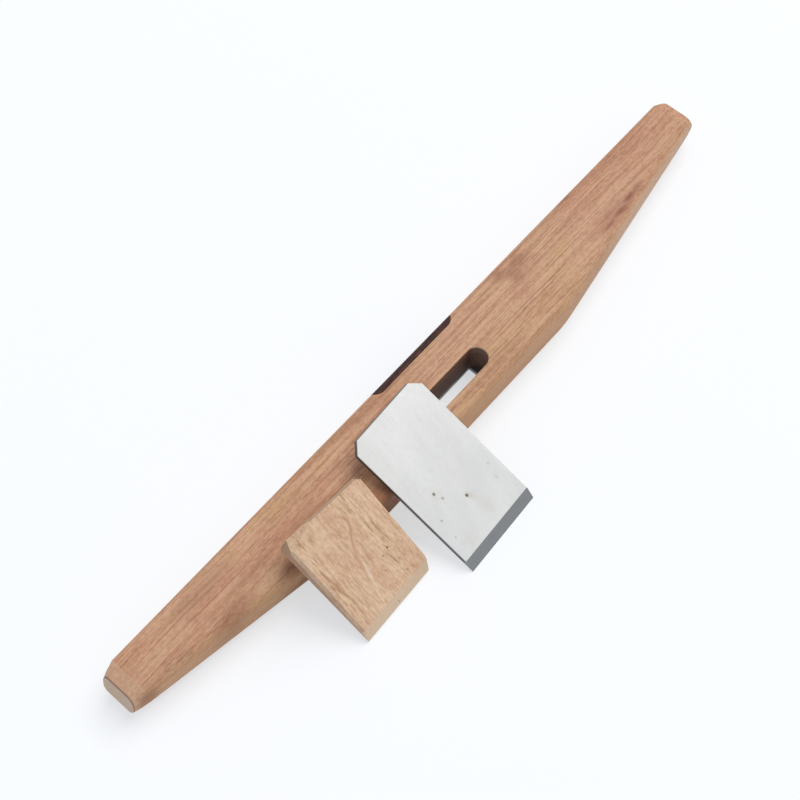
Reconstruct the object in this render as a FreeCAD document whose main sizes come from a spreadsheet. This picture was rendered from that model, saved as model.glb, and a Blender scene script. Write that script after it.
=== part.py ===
import FreeCAD
import Part
import Sketcher
import math
import os

# A wooden spokeshave with its iron and wedge taken out and leaned on the back of the stock.
# Millimetres. X runs along the stock, Y towards its straight front face, Z up.
# The origin is on the sole, mid-length, midway between the front face and the throat.

doc = FreeCAD.newDocument("spokeshave")
sheet = doc.addObject("Spreadsheet::Sheet", "sizes")

sizes = {
    # stock: a straight front and top, a back that tapers to both handles
    "stock_length": 333.0,
    "stock_depth": 32.9,
    "stock_height": 18.5,
    "front_land": 16.05,
    "break_half": 58.7,
    "bend_radius": 60.0,
    "handle_depth": 17.7,
    "handle_rise": 3.5,
    "front_round": 2.2,
    "back_round": 3.5,
    "handle_back_round": 5.5,
    "sole_round": 2.2,
    "handle_sole_round": 3.5,
    # handle ends: a soft bevel all round, then a saw cut that leans back
    "bevel_reach": 8.0,
    "bevel_top": 4.4,
    "bevel_front": 1.8,
    "bevel_back": 1.4,
    "bevel_sole": 3.2,
    "end_cut_lean": 15.0,
    "end_cut_height": 7.0,
    # throat: upright at the front, leaning at the back by the wedge's taper
    "throat_side_gap": 1.5,
    "throat_play": 0.65,
    "throat_rim": 0.25,
    # dark strip let into the front face
    "insert_length": 46.5,
    "insert_depth": 3.2,
    "insert_offset": 0.7,
    "cutter_radius": 4.6,
    "glue_gap": 0.05,
    # steel plate let into the sole
    "plate_end": 9.5,
    "plate_width": 22.0,
    "plate_thick": 2.0,
    "plate_round": 3.0,
    "plate_front_gap": 5.5,
    "plate_fit": 0.1,
    "mouth_side_gap": 0.15,
    "mouth_shift": 1.2,
    "mouth_width": 5.4,
    "mouth_lip": 0.2,
    # screws of the plate
    "screw_from_throat": 5.5,
    "screw_shank_radius": 1.2,
    "screw_head_radius": 2.5,
    "screw_head_length": 1.3,
    "screw_length": 9.0,
    "screw_point": 2.0,
    "screw_tip_radius": 0.25,
    "screw_sunk": 0.1,
    "screw_slot_width": 0.7,
    "screw_slot_depth": 0.5,
    "screw_fit": 0.1,
    # iron
    "blade_width": 38.0,
    "blade_length": 65.7,
    "blade_thick": 3.0,
    "blade_clip": 4.0,
    "bevel_length": 5.3,
    "blade_edge_land": 0.15,
    "blade_arris": 0.2,
    # wedge
    "wedge_width": 37.1,
    "wedge_length": 50.65,
    "wedge_head_skew": 5.8,
    "wedge_head_slant": 20.0,
    "wedge_toe": 3.0,
    "wedge_toe_bevel": 5.0,
    "wedge_toe_edge": 0.9,
    "wedge_angle": 8.0,
    "left_clip_across": 3.2,
    "left_clip_along": 5.8,
    "right_clip_across": 2.4,
    "right_clip_along": 2.6,
    "toe_clip_across": 1.9,
    "toe_clip_along": 6.2,
    "facet_down": 6.1,
    "facet_turn": 21.0,
    "facet_slope": 27.0,
    "facet_reach": 10.0,
    "wedge_arris": 0.5,
    "wedge_left_arris": 1.2,
    "wedge_head_arris": 1.1,
    "wedge_back_round": 1.2,
    # how the loose pieces lie against the back of the stock
    "blade_place": -27.1,
    "blade_reach": 37.55,
    "blade_turn": 2.4,
    "wedge_place": -73.1,
    "wedge_reach": 25.75,
    "wedge_turn": 2.0,
    "seat_gap": 0.25,
    # every through cut runs this far past the face it leaves
    "overrun": 1.0,
}
bend_shares = (0.0, 0.25, 0.5, 0.75, 1.0)
# each end's bevel: share of its reach, share of its depth
end_shares = ((0.5, 0.38), (0.8, 0.7), (1.0, 1.0))
# corner radii of the end face, as shares of its height
end_front_share = 0.44
end_back_share = 0.52
end_sole_share = 0.4
throat_round_share = 0.49
foot_round_share = 0.3
touch_share = 0.001
most_share = 0.9
half_share = 0.5
rim_near_share = 0.75
rim_far_share = 1.5

for row, (alias, value) in enumerate(sizes.items(), start=1):
    sheet.set("A%d" % row, alias)
    sheet.set("B%d" % row, str(value))
    sheet.setAlias("B%d" % row, alias)
doc.recompute()
spare = doc.addObject("Spreadsheet::Sheet", "spare")
known = {}


def bind(thing, **sums):
    for prop, formula in sums.items():
        thing.setExpression(prop, formula)


def new_body(name):
    body = doc.addObject("PartDesign::Body", name)
    body.Label = name
    return body


def base_plane(body, role):
    return [f for f in body.Origin.OriginFeatures if f.Role == role][0]


def new_sketch(body, name, role, offset=None):
    sketch = body.newObject("Sketcher::SketchObject", name)
    sketch.AttachmentSupport = (base_plane(body, role), "")
    sketch.MapMode = "FlatFace"
    if offset:
        sketch.setExpression("AttachmentOffset.Base.z", offset)
    return sketch


def point(x, y):
    return FreeCAD.Vector(x, y, 0)


def value(formula):
    """The number that a formula of the sheet gives, worked out on a spare sheet."""
    if formula not in known:
        spare.set("A1", "=" + formula)
        spare.recompute()
        answer = spare.get("A1")
        known[formula] = float(getattr(answer, "Value", answer))
    return known[formula]


def limit(sketch, kind, name, formula, *where):
    """A named dimension that starts at its own value, so the solver has nothing to find."""
    index = sketch.addConstraint(Sketcher.Constraint(kind, *where, value(formula)))
    sketch.renameConstraint(index, name)
    sketch.setExpression("Constraints." + name, formula)


def round_box(body, name, role, offset, right, width, top, height, radii):
    """An upright rectangle whose four corners are arcs.

    right and top are measured from the origin, width and height from there back.
    radii holds the corner radii as low left, low right, high right, high left.
    """
    sketch = new_sketch(body, name, role, offset)
    x1, y1 = value(right), value(top)
    x0, y0 = x1 - value(width), y1 - value(height)
    r = [value(formula) for formula in radii]
    lines = [
        (point(x0 + r[0], y0), point(x1 - r[1], y0)),
        (point(x1, y0 + r[1]), point(x1, y1 - r[2])),
        (point(x1 - r[2], y1), point(x0 + r[3], y1)),
        (point(x0, y1 - r[3]), point(x0, y0 + r[0])),
    ]
    for start, end in lines:
        sketch.addGeometry(Part.LineSegment(start, end), False)
    centres = [
        point(x0 + r[0], y0 + r[0]), point(x1 - r[1], y0 + r[1]),
        point(x1 - r[2], y1 - r[2]), point(x0 + r[3], y1 - r[3]),
    ]
    turns = [math.pi, 1.5 * math.pi, 0.0, 0.5 * math.pi]
    up = FreeCAD.Vector(0, 0, 1)
    for centre, turn, radius in zip(centres, turns, r):
        circle = Part.Circle(centre, up, radius)
        sketch.addGeometry(Part.ArcOfCircle(circle, turn, turn + 0.5 * math.pi), False)
    # lines are 0 low, 1 right, 2 high, 3 left; arcs are 4 low left and on, anticlockwise
    for line, arc in ((0, 4), (1, 5), (2, 6), (3, 7)):
        sketch.addConstraint(Sketcher.Constraint("Tangent", arc, 2, line, 1))
        sketch.addConstraint(Sketcher.Constraint("Tangent", line, 2, 4 + (line + 1) % 4, 1))
    for line in (0, 2):
        sketch.addConstraint(Sketcher.Constraint("Horizontal", line))
    for line in (1, 3):
        sketch.addConstraint(Sketcher.Constraint("Vertical", line))
    for arc, formula in zip(range(4, 8), radii):
        limit(sketch, "Radius", "corner%d" % (arc - 3), formula, arc)
    limit(sketch, "DistanceX", "width", width, 3, 1, 1, 1)
    limit(sketch, "DistanceY", "height", height, 0, 1, 2, 1)
    return sketch, lines, (x0, x1, y0, y1)


def pin_right(sketch, formula, x1):
    """Holds the right side a signed distance from the upright axis."""
    if x1 >= 0:
        limit(sketch, "DistanceX", "right", formula, -1, 1, 1, 1)
    else:
        limit(sketch, "DistanceX", "right", "-(%s)" % formula, 1, 1, -1, 1)


def pin_top(sketch, formula, y1):
    """Holds the high side a signed distance from the level axis."""
    if y1 >= 0:
        limit(sketch, "DistanceY", "top", formula, -1, 1, 2, 1)
    else:
        limit(sketch, "DistanceY", "top", "-(%s)" % formula, 2, 1, -1, 1)


def rounded_sketch(body, name, role, offset, right, width, top, height, radii):
    sketch, lines, (x0, x1, y0, y1) = round_box(
        body, name, role, offset, right, width, top, height, radii)
    pin_right(sketch, right, x1)
    pin_top(sketch, top, y1)
    return sketch


def polygon_sketch(body, name, role, corners, offset=None):
    """A closed outline of straight lines whose corners are pairs of formulas."""
    sketch = new_sketch(body, name, role, offset)
    spots = [(value(u), value(v)) for u, v in corners]
    count = len(spots)
    for i in range(count):
        start, end = spots[i], spots[(i + 1) % count]
        sketch.addGeometry(Part.LineSegment(point(*start), point(*end)), False)
    for i in range(count):
        sketch.addConstraint(Sketcher.Constraint("Coincident", i, 2, (i + 1) % count, 1))
    for i, (corner, spot) in enumerate(zip(corners, spots)):
        pin_point(sketch, "u%d" % i, "DistanceX", corner[0], spot[0], i)
        pin_point(sketch, "v%d" % i, "DistanceY", corner[1], spot[1], i)
    return sketch


def pin_point(sketch, name, kind, formula, place, line):
    """Holds the first end of a line at a signed distance from the origin."""
    if formula == "0":
        axis = -2 if kind == "DistanceX" else -1
        sketch.addConstraint(Sketcher.Constraint("PointOnObject", line, 1, axis))
    elif place >= 0:
        limit(sketch, kind, name, formula, -1, 1, line, 1)
    else:
        limit(sketch, kind, name, "-(%s)" % formula, line, 1, -1, 1)


def circles_sketch(body, name, role, offset, spots, radius):
    """One circle of the given radius at each spot, a pair of formulas."""
    sketch = new_sketch(body, name, role, offset)
    up = FreeCAD.Vector(0, 0, 1)
    for i, (u, v) in enumerate(spots):
        centre = point(value(u), value(v))
        sketch.addGeometry(Part.Circle(centre, up, value(radius)), False)
        limit(sketch, "Radius", "radius%d" % i, radius, i)
        for kind, formula, place in (("DistanceX", u, centre.x), ("DistanceY", v, centre.y)):
            name_now = "%s%d" % (kind[-1].lower(), i)
            if place >= 0:
                limit(sketch, kind, name_now, formula, -1, 1, i, 3)
            else:
                limit(sketch, kind, name_now, "-(%s)" % formula, i, 3, -1, 1)
    return sketch


def edges_where(shape, test):
    """The names of the edges that the test accepts."""
    return ["Edge%d" % (i + 1) for i, edge in enumerate(shape.Edges) if test(edge)]


def near(a, b):
    return abs(a - b) < touch_share * sizes["stock_height"]


# Places that several pieces share, as formulas of the sheet
front_face = "sizes.front_land / 2"
throat_front = "-sizes.front_land / 2"
handle_reach = "(sizes.stock_length / 2 - sizes.bevel_reach)"
slope = "((sizes.stock_depth - sizes.handle_depth) / (%s - sizes.break_half))" % handle_reach
plate_centre = "(sizes.front_land / 2 - sizes.plate_front_gap - sizes.plate_width / 2)"
throat_length = "(sizes.blade_width + 2 * sizes.throat_side_gap)"
plate_length = "(%s + 2 * sizes.plate_end)" % throat_length
screw_place = "(%s / 2 + sizes.screw_from_throat)" % throat_length
foot_width = "(sizes.mouth_lip + sizes.blade_thick + sizes.wedge_toe + sizes.throat_play)"
throat_width = ("(%s + (sizes.stock_height - sizes.plate_thick) * tan(sizes.wedge_angle * 1 deg))"
                % foot_width)


def section(place, back, rise, front, top, rounds):
    """One cross-section: its place along X, how far each side is drawn in, its corner sizes."""
    return {"place": place, "back": back, "rise": rise, "front": front, "top": top,
            "rounds": rounds}


def end_rounds(drawn):
    """Corner sizes on the way from the handle's section to the end face."""
    height = "(sizes.stock_height - sizes.handle_rise - sizes.bevel_top - sizes.bevel_sole)"
    pairs = (("sizes.handle_sole_round", end_sole_share), ("sizes.front_round", end_front_share),
             ("sizes.front_round", end_front_share), ("sizes.handle_back_round", end_back_share))
    return ["(%s * %s + %s * %s)" % (1 - drawn, size, drawn * share, height)
            for size, share in pairs]


def stock_stations():
    """Cross-sections of one half, from the middle to the handle's end."""
    bend_half = "(sizes.bend_radius * tan(atan(%s) / 2))" % slope
    bend_start = "(sizes.break_half - %s)" % bend_half
    middle = ["sizes.sole_round", "sizes.front_round", "sizes.front_round", "sizes.back_round"]
    stations = [section("0", "0", "0", "0", "0", middle)]
    for share in bend_shares:
        run = "(%s * sin(atan(%s)) * sizes.bend_radius)" % (share, slope)
        place = "(%s + %s)" % (bend_start, run)
        drawn = "(sizes.bend_radius - sqrt(sizes.bend_radius^2 - %s^2))" % run
        rise = "(sizes.handle_rise * %s / (%s - %s))" % (run, handle_reach, bend_start)
        stations.append(section(place, drawn, rise, "0", "0", middle))
    full = "(sizes.stock_depth - sizes.handle_depth)"
    handle = ["sizes.handle_sole_round", "sizes.front_round", "sizes.front_round",
              "sizes.handle_back_round"]
    stations.append(section(handle_reach, full, "sizes.handle_rise", "0", "0", handle))
    for run, drawn in end_shares:
        stations.append(section("(%s + %s * sizes.bevel_reach)" % (handle_reach, run),
                                "(%s + %s * sizes.bevel_back)" % (full, drawn),
                                "(sizes.handle_rise + %s * sizes.bevel_sole)" % drawn,
                                "(%s * sizes.bevel_front)" % drawn,
                                "(%s * sizes.bevel_top)" % drawn, end_rounds(drawn)))
    return stations


def make_stock():
    body = new_body("stock")
    sections = []
    for i, cut in enumerate(stock_stations()):
        right = "(%s - %s)" % (front_face, cut["front"])
        width = "(sizes.stock_depth - (%s) - %s)" % (cut["back"], cut["front"])
        top = "(sizes.stock_height - %s)" % cut["top"]
        height = "(sizes.stock_height - %s - %s)" % (cut["rise"], cut["top"])
        offset = None if cut["place"] == "0" else cut["place"]
        sections.append(rounded_sketch(body, "Section%02d" % i, "YZ_Plane", offset,
                                       right, width, top, height, cut["rounds"]))
    doc.recompute()
    half = body.newObject("PartDesign::AdditiveLoft", "HalfStock")
    half.Profile = sections[0]
    half.Sections = sections[1:]
    half.Ruled = True
    doc.recompute()
    end = saw_end(body)
    whole = body.newObject("PartDesign::Mirrored", "WholeStock")
    whole.Originals = [half, end]
    whole.MirrorPlane = (base_plane(body, "YZ_Plane"), [""])
    body.Tip = whole
    doc.recompute()
    cut_throat(body)
    cut_insert_housing(body)
    cut_plate_recess(body)
    cut_screw_holes(body)
    return body


def saw_end(body):
    """The saw cut across the handle's end: it leans back above end_cut_height."""
    end = "sizes.stock_length / 2"
    low = "sizes.end_cut_height"
    high = "(sizes.stock_height + sizes.overrun)"
    back = "(%s - (%s - %s) * tan(sizes.end_cut_lean * 1 deg))" % (end, high, low)
    past = "(%s + sizes.overrun)" % end
    sketch = polygon_sketch(body, "EndWaste", "XZ_Plane", [
        (end, low), (past, low), (past, high), (back, high)])
    cut = body.newObject("PartDesign::Pocket", "EndCut")
    cut.Profile = sketch
    cut.Type = 1
    cut.Midplane = True
    doc.recompute()
    return cut


def throat_sketch(body, name, offset, width, back_round):
    front_round = "(%s * %s)" % (throat_round_share, throat_width)
    return rounded_sketch(body, name, "XY_Plane", offset,
                          throat_length + " / 2", throat_length, throat_front, width,
                          [back_round, back_round, front_round, front_round])


def cut_throat(body):
    top = throat_sketch(body, "ThroatTop", "sizes.stock_height", throat_width,
                        "(%s * %s)" % (throat_round_share, throat_width))
    foot = throat_sketch(body, "ThroatFoot", "sizes.plate_thick", foot_width,
                         "(%s * %s)" % (foot_round_share, foot_width))
    doc.recompute()
    throat = body.newObject("PartDesign::SubtractiveLoft", "Throat")
    throat.Profile = top
    throat.Sections = [foot]
    throat.Ruled = True
    body.Tip = throat
    doc.recompute()
    soft = body.newObject("PartDesign::Chamfer", "ThroatRim")
    soft.Base = (throat, edges_where(throat.Shape, on_throat_rim))
    bind(soft, Size="sizes.throat_rim")
    body.Tip = soft
    doc.recompute()


def on_throat_rim(edge):
    """Edges that lie in the flat top within the throat's own outline."""
    box = edge.BoundBox
    level = near(box.ZMin, sizes["stock_height"]) and near(box.ZMax, sizes["stock_height"])
    length, width, front = value(throat_length), value(throat_width), value(throat_front)
    inside = abs(box.XMax) < length and abs(box.XMin) < length
    near_side = box.YMax < rim_near_share * front
    return level and inside and near_side and box.YMin > front - rim_far_share * width


def cut_insert_housing(body):
    """A cut by a round cutter whose centre runs just outside the front face."""
    radius = "sizes.cutter_radius"
    across = "(2 * sizes.cutter_radius)"
    top = "(%s - sizes.insert_depth + 2 * sizes.cutter_radius)" % front_face
    length = insert_run("sizes.cutter_radius")
    sketch = rounded_sketch(body, "InsertHousing", "XY_Plane", None,
                            "(%s / 2 + sizes.insert_offset)" % length, length, top,
                            "(%s * %s)" % (1 + touch_share, across), [radius] * 4)
    cut = body.newObject("PartDesign::Pocket", "InsertCut")
    cut.Profile = sketch
    cut.Type = 1
    cut.Midplane = True
    body.Tip = cut
    doc.recompute()


def insert_run(radius):
    """Overall length of the cutter's track that opens insert_length on the front face."""
    side = "sqrt(%s^2 - (%s - sizes.insert_depth)^2)" % (radius, radius)
    return "(sizes.insert_length - 2 * %s + 2 * %s)" % (side, radius)


def cut_plate_recess(body):
    radius = "sizes.plate_round"
    sketch = rounded_sketch(body, "PlateRecess", "XY_Plane", None,
                            plate_length + " / 2", plate_length,
                            "(%s + sizes.plate_width / 2)" % plate_centre,
                            "sizes.plate_width", [radius] * 4)
    cut = body.newObject("PartDesign::Pocket", "PlateCut")
    cut.Profile = sketch
    cut.Reversed = True
    bind(cut, Length="sizes.plate_thick")
    body.Tip = cut
    doc.recompute()


def screw_spots():
    return [(screw_place, plate_centre), ("-" + screw_place, plate_centre)]


def cut_screw_holes(body):
    radius = "(sizes.screw_shank_radius + sizes.screw_fit)"
    sketch = circles_sketch(body, "PilotHoles", "XY_Plane", None, screw_spots(), radius)
    cut = body.newObject("PartDesign::Pocket", "PilotCut")
    cut.Profile = sketch
    cut.Reversed = True
    bind(cut, Length="sizes.screw_length + sizes.screw_sunk + sizes.overrun")
    body.Tip = cut
    doc.recompute()


def make_insert():
    """The dark strip: flush with the front face, its inner corners as the cutter left them."""
    body = new_body("front_insert")
    radius = "(sizes.cutter_radius - sizes.glue_gap)"
    depth = "(sizes.insert_depth - sizes.glue_gap)"
    side = "sqrt(%s^2 - (%s - %s)^2)" % (radius, radius, depth)
    inner = "(sizes.insert_length / 2 - sizes.glue_gap - %s)" % side
    outer = "(%s + %s)" % (inner, side)
    back = "(%s - %s)" % (front_face, depth)
    sketch = new_sketch(body, "InsertPlan", "XY_Plane")
    xi, xo, yb, yf = value(inner), value(outer), value(back), value(front_face)
    r = value(radius)
    sketch.addGeometry(Part.LineSegment(point(-xi, yb), point(xi, yb)), False)
    sketch.addGeometry(Part.LineSegment(point(xo, yf), point(-xo, yf)), False)
    up = FreeCAD.Vector(0, 0, 1)
    top_turn = math.asin((yf - yb - r) / r)
    right = Part.Circle(point(xi, yb + r), up, r)
    sketch.addGeometry(Part.ArcOfCircle(right, -0.5 * math.pi, top_turn), False)
    left = Part.Circle(point(-xi, yb + r), up, r)
    sketch.addGeometry(Part.ArcOfCircle(left, math.pi - top_turn, 1.5 * math.pi), False)
    sketch.addConstraint(Sketcher.Constraint("Tangent", 0, 2, 2, 1))
    sketch.addConstraint(Sketcher.Constraint("Coincident", 2, 2, 1, 1))
    sketch.addConstraint(Sketcher.Constraint("Coincident", 1, 2, 3, 1))
    sketch.addConstraint(Sketcher.Constraint("Tangent", 3, 2, 0, 1))
    sketch.addConstraint(Sketcher.Constraint("Horizontal", 1))
    sketch.addConstraint(Sketcher.Constraint("Symmetric", 0, 1, 0, 2, -2))
    sketch.addConstraint(Sketcher.Constraint("Equal", 2, 3))
    limit(sketch, "Radius", "cutter", radius, 2)
    limit(sketch, "DistanceX", "inner", "2 * " + inner, 0, 1, 0, 2)
    limit(sketch, "DistanceY", "back", back, -1, 1, 0, 1)
    limit(sketch, "DistanceY", "front", front_face, -1, 1, 1, 1)
    pad = body.newObject("PartDesign::Pad", "InsertBlock")
    pad.Profile = sketch
    bind(pad, Length="sizes.stock_height")
    doc.recompute()

    corners = front_corner_waste(body)
    soft = body.newObject("PartDesign::Pocket", "InsertArris")
    soft.Profile = corners
    soft.Type = 1
    soft.Midplane = True
    body.Tip = soft
    bind(body, **{"Placement.Base.x": "sizes.insert_offset"})
    doc.recompute()
    return body


def front_corner_waste(body):
    """What lies outside the stock's rounded front edges, top and bottom, as seen from its end."""
    sketch = new_sketch(body, "FrontCorners", "YZ_Plane")
    front, r, top = value(front_face), sizes["front_round"], sizes["stock_height"]
    up = FreeCAD.Vector(0, 0, 1)
    low = Part.Circle(point(front - r, r), up, r)
    high = Part.Circle(point(front - r, top - r), up, r)
    sketch.addGeometry(Part.ArcOfCircle(low, 1.5 * math.pi, 2 * math.pi), False)
    sketch.addGeometry(Part.LineSegment(point(front, r), point(front, 0)), False)
    sketch.addGeometry(Part.LineSegment(point(front, 0), point(front - r, 0)), False)
    sketch.addGeometry(Part.ArcOfCircle(high, 0, 0.5 * math.pi), False)
    sketch.addGeometry(Part.LineSegment(point(front - r, top), point(front, top)), False)
    sketch.addGeometry(Part.LineSegment(point(front, top), point(front, top - r)), False)
    for arc, level, upright, level_end in ((0, 2, 1, 1), (3, 4, 5, 1)):
        first, last = (1, 2) if arc == 0 else (2, 1)
        sketch.addConstraint(Sketcher.Constraint("Tangent", arc, last, upright, arc // 3 + 1))
        sketch.addConstraint(Sketcher.Constraint("Tangent", arc, first, level, 2 - arc // 3))
    sketch.addConstraint(Sketcher.Constraint("Coincident", 1, 2, 2, 1))
    sketch.addConstraint(Sketcher.Constraint("Coincident", 4, 2, 5, 1))
    sketch.addConstraint(Sketcher.Constraint("PointOnObject", 2, 1, -1))
    for line in (2, 4):
        sketch.addConstraint(Sketcher.Constraint("Horizontal", line))
    for line in (1, 5):
        sketch.addConstraint(Sketcher.Constraint("Vertical", line))
    for arc in (0, 3):
        limit(sketch, "Radius", "edge%d" % arc, "sizes.front_round", arc)
    limit(sketch, "DistanceX", "front_low", front_face, -1, 1, 1, 1)
    limit(sketch, "DistanceX", "front_high", front_face, -1, 1, 5, 1)
    limit(sketch, "DistanceY", "top", "sizes.stock_height", -1, 1, 4, 1)
    return sketch


def make_plate():
    body = new_body("sole_plate")
    corner = "(sizes.plate_round - sizes.plate_fit)"
    length = "(%s - 2 * sizes.plate_fit)" % plate_length
    width = "(sizes.plate_width - 2 * sizes.plate_fit)"
    outline = rounded_sketch(body, "PlateOutline", "XY_Plane", None,
                             length + " / 2", length,
                             "(%s + %s / 2)" % (plate_centre, width), width, [corner] * 4)
    pad = body.newObject("PartDesign::Pad", "PlateSheet")
    pad.Profile = outline
    bind(pad, Length="sizes.plate_thick")
    doc.recompute()
    half = "(sizes.blade_width / 2 + sizes.mouth_side_gap)"
    front = "(%s - sizes.mouth_lip)" % throat_front
    back = "(%s - sizes.mouth_width)" % front
    left = "-(%s + sizes.mouth_shift)" % half
    right = "(%s - sizes.mouth_shift)" % half
    mouth = polygon_sketch(body, "Mouth", "XY_Plane", [
        (left, back), (right, back), (right, front), (left, front)])
    cut = body.newObject("PartDesign::Pocket", "MouthCut")
    cut.Profile = mouth
    cut.Type = 1
    cut.Midplane = True
    doc.recompute()
    radius = "(sizes.screw_shank_radius + 2 * sizes.screw_fit)"
    holes = circles_sketch(body, "ScrewHoles", "XY_Plane", None, screw_spots(), radius)
    drill = body.newObject("PartDesign::Pocket", "ScrewCut")
    drill.Profile = holes
    drill.Type = 1
    drill.Midplane = True
    body.Tip = drill
    doc.recompute()

    def hole_mouth(edge):
        round_edge = isinstance(edge.Curve, Part.Circle)
        whole = round_edge and near(edge.Curve.Radius, value(radius))
        return whole and near(edge.BoundBox.ZMax, 0)

    sink = body.newObject("PartDesign::Chamfer", "Countersinks")
    sink.Base = (drill, edges_where(drill.Shape, hole_mouth))
    bind(sink, Size="sizes.screw_head_length + sizes.screw_fit")
    body.Tip = sink
    doc.recompute()
    return body


def primitive(kind, name, places, **sums):
    """One primitive solid whose sizes and place are formulas of the sheet."""
    thing = doc.addObject(kind, name)
    bind(thing, **sums)
    for axis, formula in zip("xyz", places):
        thing.setExpression("Placement.Base." + axis, formula)
    return thing


def make_screws():
    """Two slotted countersunk screws, heads down in the plate, points up in the stock."""
    shells = []
    for side, sign in (("Left", "-"), ("Right", "")):
        x = sign + screw_place
        head = primitive("Part::Cone", "Head" + side, (x, plate_centre, "sizes.screw_sunk"),
                         Radius1="sizes.screw_head_radius", Radius2="sizes.screw_shank_radius",
                         Height="sizes.screw_head_length")
        shank_foot = "sizes.screw_sunk + sizes.screw_head_length"
        shank_length = "sizes.screw_length - sizes.screw_head_length - sizes.screw_point"
        shank = primitive("Part::Cylinder", "Shank" + side, (x, plate_centre, shank_foot),
                          Radius="sizes.screw_shank_radius", Height=shank_length)
        tip_foot = "sizes.screw_sunk + sizes.screw_length - sizes.screw_point"
        tip = primitive("Part::Cone", "Point" + side, (x, plate_centre, tip_foot),
                        Radius1="sizes.screw_shank_radius",
                        Radius2="sizes.screw_tip_radius", Height="sizes.screw_point")
        whole = doc.addObject("Part::MultiFuse", "Screw" + side)
        whole.Shapes = [head, shank, tip]
        slot = primitive("Part::Box", "Slot" + side,
                         ("%s - sizes.screw_head_radius - sizes.overrun" % x,
                          "%s - sizes.screw_slot_width / 2" % plate_centre,
                          "sizes.screw_sunk - sizes.overrun"),
                         Length="2 * (sizes.screw_head_radius + sizes.overrun)",
                         Width="sizes.screw_slot_width",
                         Height="sizes.screw_slot_depth + sizes.overrun")
        cut = doc.addObject("Part::Cut", "SlottedScrew" + side)
        cut.Base = whole
        cut.Tool = slot
        shells.append(cut)
    pair = doc.addObject("Part::Compound", "plate_screws")
    pair.Label = "plate_screws"
    pair.Links = shells
    doc.recompute()
    return pair


def make_blade():
    """The iron, drawn flat: its cutting edge on X, its face up, its length along Y."""
    body = new_body("blade")
    profile = polygon_sketch(body, "BladeProfile", "YZ_Plane", [
        ("0", "0"), ("sizes.blade_length", "0"),
        ("sizes.blade_length", "sizes.blade_thick"),
        ("sizes.bevel_length", "sizes.blade_thick"), ("0", "sizes.blade_edge_land")])
    pad = body.newObject("PartDesign::Pad", "BladeBar")
    pad.Profile = profile
    pad.Midplane = True
    bind(pad, Length="sizes.blade_width")
    doc.recompute()

    def head_corner(edge):
        box = edge.BoundBox
        upright = box.ZLength > most_share * sizes["blade_thick"] and near(box.YLength, 0)
        return upright and near(box.YMax, sizes["blade_length"])

    clip = body.newObject("PartDesign::Chamfer", "HeadCorners")
    clip.Base = (pad, edges_where(pad.Shape, head_corner))
    bind(clip, Size="sizes.blade_clip")
    body.Tip = clip
    doc.recompute()

    def face_rim(edge):
        box = edge.BoundBox
        level = near(box.ZMin, sizes["blade_thick"]) and near(box.ZMax, sizes["blade_thick"])
        return level and not near(box.YMax, sizes["bevel_length"])

    soft = body.newObject("PartDesign::Chamfer", "FaceArris")
    soft.Base = (clip, edges_where(clip.Shape, face_rim))
    bind(soft, Size="sizes.blade_arris")
    body.Tip = soft
    doc.recompute()
    return body


def wedge_profile(body, name, side, length):
    """The wedge's outline at one side: toe with its bevel, then the head's slanted cut."""
    thick = "(sizes.wedge_toe + %s * tan(sizes.wedge_angle * 1 deg))"
    head = thick % length
    foot = "(%s - %s * tan(sizes.wedge_head_slant * 1 deg))" % (length, head)
    return polygon_sketch(body, name, "YZ_Plane", [
        ("0", "0"), (foot, "0"), (length, head),
        ("sizes.wedge_toe_bevel", thick % "sizes.wedge_toe_bevel"),
        ("0", "sizes.wedge_toe_edge")], side)


def clip_corner(body, name, corners):
    sketch = polygon_sketch(body, name + "Waste", "XY_Plane", corners)
    cut = body.newObject("PartDesign::Pocket", name)
    cut.Profile = sketch
    cut.Type = 1
    cut.Midplane = True
    body.Tip = cut
    doc.recompute()
    return cut


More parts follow.
